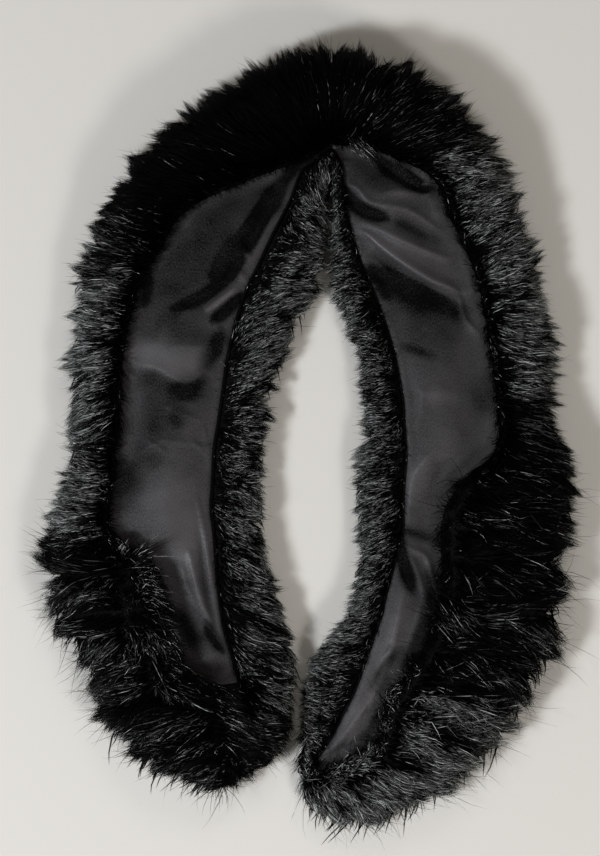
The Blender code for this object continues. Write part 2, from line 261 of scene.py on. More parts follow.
# The lining's creases, in plan: height, left, right, then X and Y of each point of the path. Height is
# above the cloth round the crease, or below it where negative. Left and right are the half widths of its
# flanks, seen along the path, so that a crease can stand steep on one side.
CREASES = {
    Side.LEFT: creases(
        # round the dark hollows beside the seam
        (-3, 6, 4, -19, 164, -27, 148, -39, 127, -44, 122),
        (1.4, 1.2, 3, -29, 160, -35, 149, -44, 136, -52, 126),
        (1.2, 2.4, 1.4, -22, 146, -27, 136, -34, 121, -42, 106),
        (-2.6, 4, 3, -42, 116, -49, 109, -57, 97, -72, 88, -84, 84),
        (1.3, 1.4, 1.6, -48, 115, -43, 117, -38, 114),
        (1.2, 1.6, 1.4, -47, 106, -43, 101, -40, 95),
        # the panel at the upper left
        (0.9, 0.9, 1.1, -82, 132, -76, 141, -70, 148),
        (0.6, 1.2, 1.2, -98, 115, -89, 121, -81, 130),
        (0.8, 1.4, 2, -105, 106, -107, 96, -110, 84),
        (0.5, 1, 1.4, -84, 73, -80, 79, -76, 84),
        # the wedge and the hollow under it
        (2, 4, 1.2, -46, 96, -56, 89, -69, 79),
        (-1.6, 2.4, 2, -45, 91, -53, 83, -62, 75),
        (0.7, 0.8, 0.9, -64, 78, -61, 70, -58, 66),
        # the bright band with its crisp lower edge
        (0.6, 0.8, 0.9, -90, 57, -78, 57, -65, 56),
        (0.7, 6, 2, -116, 48, -110, 45, -100, 43, -86, 35, -78, 34, -65, 44, -57, 51),
        (-1.3, 2, 2, -56, 58, -61, 50, -68, 42),
        # the flat middle
        (0.7, 0.9, 1.1, -98, 20, -90, 16, -80, 12, -68, 8),
        (0.6, 0.8, 1, -93, 17, -84, 21, -72, 18),
        (0.7, 1, 0.9, -118, -17, -108, -11, -97, -5, -88, -4),
        (0.7, 0.9, 1, -109, -3, -99, -8, -92, -13),
        (0.6, 0.8, 1, -98, -4, -82, -6, -66, -9),
        (0.5, 0.8, 0.9, -80, -2, -72, -8, -66, -15),
        (0.6, 0.9, 0.9, -69, 8, -67, -8, -64, -25),
        # long ridges beside the seam
        (1.7, 1.5, 1.3, -74, -38, -69, -62, -66, -82, -62, -103, -58, -128, -49, -150),
        (-1.3, 1.6, 1.8, -71, -62, -69, -84, -66, -104, -60, -126),
        (1.5, 3, 1.4, -79, -74, -75, -93, -69, -112, -63, -124),
        (1.5, 1.6, 1.2, -69, -121, -62, -130, -56, -139),
        (-1.5, 1.8, 2.4, -68, -124, -63, -134, -58, -140),
        (0.9, 1.6, 2.2, -84, -82, -80, -98, -73, -112),
        # the turned end
        (1.4, 1.4, 1.4, -54, -139, -49, -146, -46, -153, -48, -163),
        (-1, 1.4, 1.4, -52, -146, -50, -152, -50, -160),
        (0.9, 1, 1.2, -76, -160, -66, -161, -54, -163),
        (-0.9, 2.5, 2.5, -72, -150, -64, -153, -56, -151),
    ),
    Side.RIGHT: creases(
        # the forked ridge below the lip
        (1.8, 1.4, 1.2, 19, 164, 30, 159, 38, 150, 51, 147, 62, 145, 72, 140, 88, 129),
        (1.7, 1.8, 1.3, 39, 152, 53, 156, 64, 156, 76, 155, 81, 160),
        (-2.4, 3, 2.4, 22, 157, 28, 148, 39, 142, 54, 139),
        (-1.2, 3, 3, 54, 139, 66, 134, 78, 127),
        # the two long ridges
        (1.6, 2.2, 1.2, 28, 132, 34, 136, 45, 132, 55, 127, 64, 123, 76, 118, 88, 114, 95, 116),
        (2.2, 3, 1.2, 28, 132, 37, 129, 46, 121, 55, 114, 67, 106, 79, 99, 90, 95, 98, 91),
        (1, 1.6, 1.4, 98, 91, 103, 93, 107, 93),
        (-2.2, 4, 9, 40, 119, 54, 108, 72, 96, 94, 84),
        (1.4, 1.2, 2.2, 97, 90, 98, 84, 101, 74, 112, 63),
        (0.8, 1.2, 1.4, 97, 116, 103, 104, 104, 93),
        # small ridges beside the seam
        (1.2, 1.6, 1.2, 33, 110, 42, 112, 52, 103),
        (-0.9, 1.6, 1.6, 34, 106, 42, 103, 50, 98),
        (1, 1.3, 1.2, 38, 94, 43, 97, 48, 94),
        (0.7, 1.1, 1.2, 44, 84, 49, 86, 52, 80),
        # the curl under the lip
        (2.6, 1.4, 1.4, 55, 181, 64, 177, 72, 171, 77, 165, 73, 162, 70, 165),
        (1, 1, 1.2, 57, 179, 63, 171, 69, 163),
        (-1.8, 2, 2.4, 44, 178, 56, 168, 70, 160, 80, 158),
        (0.9, 0.9, 0.9, 76, 149, 84, 150, 89, 147),
        (0.9, 0.9, 0.9, 78, 144, 84, 143, 88, 144),
        # the flat middle
        (-0.7, 2, 2.2, 62, 57, 70, 54, 76, 52),
        (0.8, 4, 3, 68, 30, 78, 26, 92, 28),
        (0.6, 3, 2.4, 72, 30, 72, 14, 68, 2),
        (1, 3.5, 1.8, 84, -7, 76, -15, 67, -27, 64, -44, 63, -58),
        (-0.8, 2.5, 2.5, 92, -14, 84, -24, 78, -36),
        # the crossing fold and the ridges down to the end
        (1.6, 1.2, 1.2, 58, -70, 66, -75, 75, -80, 80, -96, 84, -110, 76, -116),
        (1.3, 1.2, 1.1, 62, -74, 68, -86, 73, -100, 77, -112),
        (-1.5, 2, 1.6, 56, -72, 60, -86, 62, -96),
        (-0.9, 1.6, 1.6, 60, -62, 70, -66, 80, -68),
        (1.5, 2.6, 2.2, 62, -98, 57, -120, 52, -142, 42, -166, 26, -190, 10, -211),
        (1, 1.6, 1.4, 74, -104, 68, -124, 62, -140),
        (-1.3, 1.3, 1.4, 56, -142, 49, -149, 43, -158),
        (0.9, 1.3, 1.1, 54, -137, 48, -146, 44, -154),
        (0.9, 2, 1.6, 46, -178, 36, -190, 22, -203),
    ),
}

# Zones of painted shade on the satin, where its colour is painted black, as rows like the creases'.
# Height is how much shade is painted, and below 0 the cloth is painted greyer than elsewhere.
PAINTED_SHADE = {
    Side.LEFT: creases(
        (0.8, 7, 7, 10, 198, -4, 180, -16, 166),
        (1.7, 5.6, 6.4, -10, 174, -22, 156, -32, 141, -41, 127, -53, 113, -66, 99),
        (1.2, 3, 3.6, -42, 116, -54, 101, -70, 88, -92, 80),
        (-0.2, 2.4, 2.4, -19, 147, -28, 131, -35, 117, -41, 103),
        (1.3, 4, 3.6, -43, 93, -53, 82, -66, 71),
        (0.9, 6, 6, -56, 70, -62, 56, -73, 40),
        (0.4, 7, 7, -72, 42, -74, 30, -76, 20),
        (0.5, 0.9, 9, -112, 44, -100, 41, -86, 33, -78, 32, -66, 41),
        (0.5, 9, 8, -82, 36, -85, 20, -84, 2),
        (0.7, 3, 3, -105, 107, -106, 93, -108, 80),
        (0.54, 26, 20, -30, 168, -66, 128, -90, 98, -104, 72),
        (0.4, 10, 10, -100, 74, -82, 67, -66, 62),
        (0.25, 8, 8, -116, 72, -104, 68, -96, 66),
        (-0.8, 8, 8, -124, 54, -100, 50, -82, 46, -60, 56),
        (-0.6, 4, 3, -44, 97, -56, 90, -70, 80),
        (0.4, 8, 8, -112, 38, -102, 26, -106, 8, -116, -16),
        (0.35, 10, 10, -106, 0, -92, 3, -80, 4),
        (0.25, 8, 8, -114, -8, -104, -13, -94, -18),
        (-0.5, 18, 14, -104, -24, -92, -44, -84, -66, -74, -94),
        (0.5, 9, 8, -128, -8, -122, -22, -120, -34, -126, -54),
        (0.25, 12, 10, -118, -16, -108, -26, -100, -38),
        (-0.25, 5, 5, -79, -44, -79, -70, -78, -88),
        (0.7, 7, 8, -90, -112, -84, -120, -76, -132, -70, -146),
        (1, 3, 2.4, -69, -120, -63, -131, -55, -144),
    ),
    Side.RIGHT: creases(
        (1.2, 4.4, 4, 36, 184, 54, 170, 68, 161, 84, 157),
        (0.45, 9, 9, 20, 176, 38, 165, 60, 164),
        (1.5, 4, 3.4, 18, 164, 27, 150, 38, 143, 53, 139),
        (0.35, 4, 4, 50, 139, 66, 132, 86, 123),
        (-0.3, 4, 4, 36, 131, 58, 120, 84, 108, 100, 100),
        (0.75, 1.6, 17, 36, 115, 55, 104, 66, 98, 80, 91, 108, 80),
        (0.2, 18, 16, 42, 84, 70, 72, 100, 62),
        (1.2, 2, 3, 56, 175, 64, 168, 72, 162),
        (-0.8, 1.4, 1.4, 57, 181, 66, 177, 75, 170, 78, 163),
        (0.5, 4, 4, 34, 112, 42, 100, 52, 84),
        (0.35, 5, 5, 94, 86, 97, 76, 103, 68),
        (0.2, 16, 14, 56, 66, 76, 60, 100, 60),
        (0.35, 3, 3, 56, 58, 70, 54, 84, 49),
        (-0.2, 8, 8, 76, 28, 86, 24, 96, 26),
        (0.4, 8, 8, 118, 46, 114, 32, 111, 20, 112, 8),
        (-0.2, 8, 8, 96, 2, 86, -8, 80, -18),
        (-0.35, 6, 6, 74, -12, 69, -30, 66, -48),
        (1.2, 4, 4.4, 56, -58, 59, -76, 64, -92, 67, -106),
        (0.5, 3, 3, 52, -62, 68, -64, 90, -72),
        (0.8, 5, 5, 76, -84, 80, -100, 76, -116),
        (0.8, 3, 3, 58, -138, 49, -151, 38, -168),
        (0.5, 4, 4, 78, -112, 68, -138, 58, -158),
        (0.4, 3, 3, 50, -172, 42, -186, 32, -200),
        (-0.4, 9, 9, 60, -100, 52, -130, 36, -168, 14, -206),
    ),
}

# The outer fur's profile, from the lip over the lining to the floor. Across is 0 at the lip and 1 at the
# outline. Level is 0 at the lining, 1 at the crown and -1 at the floor.
OUTER_PROFILE = (
    (0.00, 0.08),
    (0.05, 0.40),
    (0.15, 0.70),
    (0.31, 0.92),
    (0.50, 1.00),
    (0.68, 0.94),
    (0.83, 0.74),
    (0.94, 0.40),
    (1.00, -0.15),
    (1.00, -0.55),
    (0.97, -0.85),
    (0.90, -1.00),
)
# Where on the profile the roll is widest, as a share of its points
WIDEST = 8.5 / 11

# The neck fur's profile, from the seam to the floor. Across is 0 at the seam and 1 at the neck edge.
# Level is 1 at the neck fur's crown and 0 at the floor.
NECK_PROFILE = (
    (0.00, 0.60),
    (0.12, 0.82),
    (0.30, 0.95),
    (0.50, 1.00),
    (0.70, 0.95),
    (0.88, 0.78),
    (0.97, 0.55),
    (1.00, 0.33),
    (0.97, 0.10),
    (0.90, 0.00),
)
NECK_WIDEST = 7 / 9

# The line where the neck fur of both halves meets, as Y and X
MEETING_LINE = (
    (-300.0, -14.0),
    (-218.0, -9.0),
    (-192.0, -8.5),
    (-166.0, -7.0),
    (-144.0, -5.0),
    (-108.0, -4.5),
    (9.0, 1.5),
    (97.0, 8.0),
    (120.0, 13.0),
    (170.0, 13.7),
    (300.0, 13.7),
)


@dataclass
class Half:
    """One half of the strip, with its shape as functions of a place along it and a distance across.

    A place is a fractional row number: 0 at the centre back and the last row at the free end. A distance
    across is in millimetres from the neck seam, positive towards the outline. The sizes that begin with
    cloth are how far the fur cloth is drawn in below its pile.
    """

    side: Side
    wall: float = 1.2
    seam_gap: float = 0.3
    lip_gap: float = 0.5
    lining_width: float = 72.0
    pile_past_lining: float = 38.0
    least_lap: float = 3.0
    swell: float = 4.0
    swell_power: float = 1.5
    full_shown: float = 65.0
    fold_fade: float = 8.0
    neck_rise: float = 10.0
    meeting_gap: float = 0.7
    crease_scale: float = 1.25
    # painted shade and painted highlight on the satin: even, by zone, in troughs and over ridges
    even_turn: float = 0.56
    zone_turn: float = 0.56
    zone_power: float = 2.4
    ridge_power: float = 1.5
    ridge_turn: float = 0.13
    trough_turn: float = 0.12
    lip_tuck: float = 2.0
    least_slope: float = 0.2
    rounds: int = 8
    lip_share: float = 0.2
    outline_share: float = 0.45
    neck_share: float = 0.4
    cloth_lip_in: float = 2.0
    cloth_out_in: float = 15.0
    cloth_drop: float = 8.0
    cloth_neck_in: float = 10.0
    cloth_neck_drop: float = 4.0
    rows: Array = field(init=False)
    comb: Array = field(init=False)
    last: float = field(init=False)

    def __post_init__(self) -> None:
        """Turns the side's tables into arrays."""
        self.rows = np.array(ROWS[self.side], float)
        self.comb = np.array(COMB[self.side], float)
        self.last = float(len(self.rows) - 1)

    def row(self, places: Array) -> dict[str, Array]:
        """The smooth value of every column of the rows at these places.

        Args:
            places: Fractional row numbers.

        Returns:
            An array in the shape of places for each column, with the lining's width added.
        """
        values = smooth_through(self.rows, places)
        found = {name: values[..., k] for k, name in enumerate(ROW_COLUMNS)}
        found["shown"] = np.maximum(found["shown"], 1.0)
        free = np.maximum(found["reach"] - self.pile_past_lining, found["shown"] + self.least_lap)
        width = np.minimum(free, self.lining_width)
        past = places > LINING_END[self.side] + 0.5
        found["lining"] = np.where(past, found["shown"] + self.least_lap, width)
        bearing = np.radians(found["bearing"])
        found["out_x"] = np.cos(bearing)
        found["out_y"] = np.sin(bearing)
        found["neck_fur"] = self.held_back(found)
        return found

    def held_back(self, row: dict[str, Array]) -> Array:
        """Cuts the neck fur short where it would cross the line where both halves meet.

        Args:
            row: The row's values.

        Returns:
            The neck fur's width in millimetres.
        """
        sign = self.side.value
        line = np.array(MEETING_LINE)
        crosses = row["out_x"] * sign > self.least_slope
        slope = np.where(crosses, row["out_x"], 1.0)
        distance = row["neck_fur"].copy()
        for _ in range(self.rounds):
            y = row["seam_y"] - row["out_y"] * distance
            wall = np.interp(y, line[:, 0], line[:, 1]) + sign * self.meeting_gap / 2
            run = (row["seam_x"] - wall) / slope
            distance = np.where(crosses, np.minimum(row["neck_fur"], run), row["neck_fur"])
        return distance

    def combed(self, places: Array, column: str) -> Array:
        """One column of the comb table at these places."""
        return np.interp(places, self.comb[:, 0], self.comb[:, COMB_COLUMNS.index(column)])

    def creased(self, x: Array, y: Array, row: dict[str, Array], u: Array, ridges: bool) -> Array:
        """The height of the lining's creases, which fade at the neck seam and under the lip.

        Args:
            x: X of each point in millimetres.
            y: Y of each point in millimetres.
            row: The row's values there.
            u: Distance from the neck seam there.
            ridges: True for ridges and troughs, False for the troughs alone.

        Returns:
            The height in millimetres.
        """
        creases = [c for c in CREASES[self.side] if ridges or c.height < 0]
        total = sum(c.over(x, y) for c in creases)
        near_lip = np.clip((row["shown"] + self.lip_tuck - u) / self.fold_fade, 0, 1)
        return self.crease_scale * total * near_lip * np.clip(u / self.fold_fade, 0, 1)

    def turned(self, x: Array, y: Array) -> Array:
        """The painted shade on the satin at points in plan, from 0 to 1.

        To an even share come the zones' own, each trough's depth as painted shade, and for each ridge its
        height to the ridge power taken off as a painted highlight, each times its factor.

        Args:
            x: X of each point in millimetres.
            y: Y of each point in millimetres.

        Returns:
            0 where the satin is painted its palest grey and 1 where it is painted black.
        """
        zones = sum(zone.over(x, y, self.zone_power) for zone in PAINTED_SHADE[self.side])
        heights = [crease.over(x, y) for crease in CREASES[self.side]]
        ridges = sum(np.clip(height, 0, None) ** self.ridge_power for height in heights)
        troughs = sum(np.clip(-height, 0, None) for height in heights)
        total = self.even_turn + self.zone_turn * zones
        return np.clip(total + self.trough_turn * troughs - self.ridge_turn * ridges, 0, 1)

    def lining_base(self, row: dict[str, Array], u: Array) -> Array:
        """The smooth bed below the lining: a low swell where it shows.

        Args:
            row: The row's values.
            u: Distance from the neck seam.

        Returns:
            The height in millimetres.
        """
        swell = self.swell * np.clip(row["shown"] / self.full_shown, 0, 1)
        span = np.maximum(row["shown"] - self.fold_fade, self.least_lap)
        arch = np.sin(np.pi * np.clip(u / span, 0, 1)) ** self.swell_power
        return row["bed"] - self.seam_gap + swell * arch

    def plan(self, row: dict[str, Array], u: Array) -> tuple[Array, Array]:
        """X and Y of the points at the distances u from the neck seam."""
        return row["seam_x"] + row["out_x"] * u, row["seam_y"] + row["out_y"] * u

    def slot_top(self, row: dict[str, Array]) -> Array:
        """The height of the lip's underside where it begins."""
        return row["bed"] + self.wall + self.lip_gap

    def outer(
        self, row: dict[str, Array], q: Array, lip_in: float = 0.0, out_in: float = 0.0, drop: float = 0.0
    ) -> tuple[Array, Array]:
        """A point of the outer roll's profile.

        Args:
            row: The row's values.
            q: 0 at the lip, 1 where the profile meets the floor.
            lip_in: How far the lip is drawn back.
            out_in: How far the outline is drawn in.
            drop: How far the crown is lowered.

        Returns:
            The distance across and the height.
        """
        table = np.array(OUTER_PROFILE)
        shape = smooth_through(table, np.clip(q, 0, 1) * (len(table) - 1))
        lap = row["reach"] - row["shown"]
        lip_in = np.minimum(lip_in, self.lip_share * lap)
        out_in = np.minimum(out_in, self.outline_share * lap)
        slot = self.slot_top(row)
        crown = np.maximum(row["crown"] - drop, slot + 1)
        u = row["shown"] + lip_in + (lap - lip_in - out_in) * shape[..., 0]
        level = shape[..., 1]
        return u, np.where(level > 0, slot + (crown - slot) * level, slot * (1 + level))

    def neck(
        self, row: dict[str, Array], q: Array, edge_in: float = 0.0, drop: float = 0.0
    ) -> tuple[Array, Array]:
        """A point of the neck roll's profile, with a distance across below 0.

        Args:
            row: The row's values.
            q: 0 at the seam, 1 where the profile meets the floor.
            edge_in: How far the neck edge is drawn in.
            drop: How far the crown is lowered.

        Returns:
            The distance across and the height.
        """
        table = np.array(NECK_PROFILE)
        shape = smooth_through(table, np.clip(q, 0, 1) * (len(table) - 1))
        width = row["neck_fur"] - np.minimum(edge_in, self.neck_share * row["neck_fur"])
        crown = np.minimum(row["bed"] + self.neck_rise, row["crown"]) - drop
        return -width * shape[..., 0], np.maximum(crown * shape[..., 1], 0.0)

    def cloth_outer(self, row: dict[str, Array], q: Array) -> tuple[Array, Array]:
        """The outer roll's profile drawn in to the fur cloth."""
        return self.outer(row, q, self.cloth_lip_in, self.cloth_out_in, self.cloth_drop)

    def cloth_neck(self, row: dict[str, Array], q: Array) -> tuple[Array, Array]:
        """The neck roll's profile drawn in to the fur cloth."""
        return self.neck(row, q, self.cloth_neck_in, self.cloth_neck_drop)


def linear(hex_colour: str) -> tuple[float, float, float, float]:
    """The linear colour of an sRGB hex value.

    Args:
        hex_colour: Six hex digits after a hash sign.

    Returns:
        Red, green, blue and alpha from 0 to 1.
    """
    parts = [int(hex_colour[k : k + 2], 16) / 255 for k in (1, 3, 5)]
    red, green, blue = (c / 12.92 if c <= 0.04045 else ((c + 0.055) / 1.055) ** 2.4 for c in parts)
    return red, green, blue, 1.0


def feed(tree: bpy.types.NodeTree, node: bpy.types.Node, inputs: dict) -> None:
    """Links or sets inputs of a node.

    Args:
        tree: The material's node tree.
        node: The node.
        inputs: By input name or number, a socket to link or a value to set.
    """
    for name, value in inputs.items():
        if isinstance(value, bpy.types.NodeSocket):
            tree.links.new(value, node.inputs[name])
        else:
            node.inputs[name].default_value = value


def add_node(tree: bpy.types.NodeTree, kind: str, inputs: dict, **settings: object) -> bpy.types.Node:
    """Adds one node with its settings and its inputs.

    Args:
        tree: The material's node tree.
        kind: The node's type without its prefix ShaderNode.
        inputs: By input name or number, a socket to link or a value to set.
        settings: The node's own properties.

    Returns:
        The node.
    """
    made = tree.nodes.new(f"ShaderNode{kind}")
    for name, value in settings.items():
        setattr(made, name, value)
    feed(tree, made, inputs)
    return made


def new_material(name: str) -> tuple[bpy.types.Material, bpy.types.NodeTree, bpy.types.Node]:
    """A new material.

    Args:
        name: The material's name.

    Returns:
        The material, its node tree and its Principled shader.
    """
    made = bpy.data.materials.new(name)
    made.use_nodes = True
    return made, made.node_tree, made.node_tree.nodes["Principled BSDF"]


@dataclass(frozen=True)
class AcrylicPile:
    """Modacrylic pile fibre, extruded and dyed black: fine smooth hairs with painted highlights, short grey
    glints painted into their colour.
    """

    root: str = "#000000"
    body: str = "#010101"
    tip: str = "#080807"
    glint: str = "#dde6e5"
    root_end: float = 0.1
    body_at: float = 0.7
    apart: float = 900.0
    flashes: float = 3.2
    flash_range: tuple[float, float] = (0.46, 0.6)
    lit_range: tuple[float, float] = (0.25, 0.6)
    roughness: float = 0.5
    ior: float = 1.45
    specular: float = 0.03

    def build(self) -> bpy.types.Material:
        """Builds it on a UV map whose U is how much painted glint a hair gets, with V from root to tip.

        Returns:
            The material.
        """
        made, tree, shader = new_material("acrylic_pile")
        uv = add_node(tree, "UVMap", {}, uv_map="pile").outputs["UV"]
        split = add_node(tree, "SeparateXYZ", {0: uv}).outputs
        along = add_node(tree, "ValToRGB", {0: split["Y"]})
        stops = along.color_ramp.elements
        stops[0].color, stops[0].position = linear(self.root), self.root_end
        stops[1].color = linear(self.tip)
        stops.new(self.body_at).color = linear(self.body)
        # painted highlights: hairs with unlike U get their painted glints in unlike places
        each = add_node(tree, "Mapping", {"Vector": uv, "Scale": (self.apart, self.flashes, 1.0)})
        spots = add_node(tree, "TexNoise", {"Vector": each.outputs[0], "Scale": 1.0})
        low, high = self.flash_range
        flash = add_node(tree, "MapRange", {0: spots.outputs[0], 1: low, 2: high})
        low, high = self.lit_range
        outer = add_node(tree, "MapRange", {0: split["Y"], 1: low, 2: high})
        both = add_node(tree, "Math", {0: flash.outputs[0], 1: outer.outputs[0]}, operation="MULTIPLY")
        amount = add_node(tree, "Math", {0: split["X"], 1: both.outputs[0]}, operation="MULTIPLY")
        # painted highlight: the glint's grey is mixed into the hair's own black
        tones = {0: amount.outputs[0], 6: along.outputs["Color"], 7: linear(self.glint)}
        mixed = add_node(tree, "Mix", tones, data_type="RGBA")
        feed(tree, shader, {"Base Color": mixed.outputs[2], "Roughness": self.roughness})
        feed(tree, shader, {"IOR": self.ior, "Specular IOR Level": self.specular})
        return made


@dataclass(frozen=True)
class PileBacking:
    """Knitted polyester backing with the dense roots of the pile: a dull black that takes all light."""

    dark: str = "#020202"
    light: str = "#0a0b0b"
    root_spacing: float = 1.2
    depth: float = 1.0
    strength: float = 0.6
    roughness: float = 0.9
    specular: float = 0.1

    def build(self) -> bpy.types.Material:
        """Builds it as an uneven black in the scale of the roots.

        Returns:
            The material.
        """
        made, tree, shader = new_material("pile_backing")
        place = add_node(tree, "TexCoord", {}).outputs["Object"]
        noise = add_node(tree, "TexNoise", {"Vector": place, "Scale": 1 / (self.root_spacing * MM)})
        tones = {0: noise.outputs[0], 6: linear(self.dark), 7: linear(self.light)}
        mixed = add_node(tree, "Mix", tones, data_type="RGBA")
        rise = {"Height": noise.outputs[0], "Strength": self.strength, "Distance": self.depth * MM}
        bump = add_node(tree, "Bump", rise)
        feed(tree, shader, {"Base Color": mixed.outputs[2], "Normal": bump.outputs[0]})
        feed(tree, shader, {"Roughness": self.roughness, "Specular IOR Level": self.specular})
        return made


@dataclass(frozen=True)
class SatinLining:
    """Polyester satin, woven with long floats and dyed black: a soft grey sheen, painted, over black.

    Its colour is a painted sheen of dark grey where the painted shade is low and a painted black where
    it is high, with the painted shade deepest in zones and troughs and lightest on ridges. Half of the
    light comes off it in the cloth's own tone, for which the metal's share stands.
    """

    facing: str = "#575759"
    turned: str = "#000001"
    smooth: float = 0.44
    rough: float = 0.54
    dulled: float = 0.3
    thread: float = 0.8
    thread_stretch: float = 0.6
    wave: float = 16.0
    patches: float = 0.07
    specks: float = 0.13
    noise_range: tuple[float, float] = (0.3, 0.7)
    soft_bump: tuple[float, float] = (0.3, 1.2)
    fine_bump: tuple[float, float] = (0.35, 0.15)
    metal: float = 0.5
    ior: float = 1.6
    specular: float = 0.1

    def build(self) -> bpy.types.Material:
        """Builds it. The threads are drawn coarser than the real 0.1 mm, so that they show.

        Returns:
            The material.
        """
        made, tree, shader = new_material("satin_lining")
        uv = add_node(tree, "UVMap", {}, uv_map="cloth").outputs["UV"]
        scale = (1 / self.thread, self.thread_stretch / self.thread, 1)
        stretch = add_node(tree, "Mapping", {"Vector": uv, "Scale": scale}).outputs[0]
        grain = add_node(tree, "TexNoise", {"Vector": stretch, "Scale": 1.0, "Detail": 2.0}).outputs[0]
        cloud = add_node(tree, "TexNoise", {"Vector": uv, "Scale": 1 / self.wave, "Detail": 4.0}).outputs[0]
        painted_shade_field = add_node(tree, "Attribute", {}, attribute_name="turned").outputs["Fac"]
        low, high = self.noise_range
        spans = (
            (cloud, -self.patches, self.patches),
            (grain, -self.specks, self.specks),
            (grain, self.smooth, self.rough),
        )
        patchy, speck, even = (
            add_node(tree, "MapRange", {0: noise, 1: low, 2: high, 3: least, 4: most}).outputs[0]
            for noise, least, most in spans
        )
        uneven = add_node(tree, "Math", {0: patchy, 1: speck}, operation="ADD").outputs[0]
        drawn = add_node(tree, "Math", {0: painted_shade_field, 1: uneven}, operation="ADD", use_clamp=True).outputs[0]
        # painted sheen and painted shade: the grey sheen fades to black where more shade is painted
        tones = {0: drawn, 6: linear(self.facing), 7: linear(self.turned)}
        mixed = add_node(tree, "Mix", tones, data_type="RGBA")
        rough = add_node(tree, "Math", {0: painted_shade_field, 1: self.dulled, 2: even}, operation="MULTIPLY_ADD")
        strength, depth = self.soft_bump
        soft = add_node(tree, "Bump", {"Height": cloud, "Strength": strength, "Distance": depth * MM})
        strength, depth = self.fine_bump
        rise = {"Height": grain, "Strength": strength, "Distance": depth * MM, "Normal": soft.outputs[0]}
        fine = add_node(tree, "Bump", rise)
        feed(tree, shader, {"Base Color": mixed.outputs[2], "Normal": fine.outputs[0]})
        feed(tree, shader, {"Roughness": rough.outputs[0], "Metallic": self.metal})
        feed(tree, shader, {"IOR": self.ior, "Specular IOR Level": self.specular})
        return made


@dataclass(frozen=True)
class TableTop:
    """Matt white laminate, pressed smooth: an even pale ground that takes soft shadows."""

    colour: str = "#d2d3cf"
    roughness: float = 0.7
    specular: float = 0.2

    def build(self) -> bpy.types.Material:
        """Builds it.

        Returns:
            The material.
        """
        made, tree, shader = new_material("matt_laminate")
        feed(tree, shader, {"Base Color": linear(self.colour), "Roughness": self.roughness})
        feed(tree, shader, {"Specular IOR Level": self.specular})
        return made


def into_scene(name: str, data: bpy.types.ID) -> bpy.types.Object:
    """Links a new object to the scene.

    Args:
        name: The object's name.
        data: Its mesh, lamp or camera.

    Returns:
        The object.
    """
    item = bpy.data.objects.new(name, data)
    bpy.context.scene.collection.objects.link(item)
    return item


def put_piece(name: str, mesh: bpy.types.Mesh, made: bpy.types.Material) -> bpy.types.Object:
    """Links a piece to the scene with its material and body.

    Args:
        name: The piece's name.
        mesh: Its mesh.
        made: Its material.

    Returns:
        The piece.
    """
    mesh.materials.append(made)
    item = into_scene(name, mesh)
    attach(item, BODY)
    return item


def mesh_of(name: str, points: Array, corners: Array, starts: Array) -> bpy.types.Mesh:
    """A mesh from arrays, all at once.

    Args:
        name: The mesh's name.
        points: One row of X, Y and Z for each vertex, in metres.
        corners: The vertex of each face corner, face after face.
        starts: Where each face's corners start.

    Returns:
        The mesh.
    """
    mesh = bpy.data.meshes.new(name)
    mesh.vertices.add(len(points))
    mesh.vertices.foreach_set("co", points.astype(np.float32).ravel())
    mesh.loops.add(len(corners))
    mesh.loops.foreach_set("vertex_index", corners.astype(np.int32))
    mesh.polygons.add(len(starts))
    mesh.polygons.foreach_set("loop_start", starts.astype(np.int32))
    mesh.update(calc_edges=True)
    mesh.validate()
    mesh.shade_smooth()
    return mesh


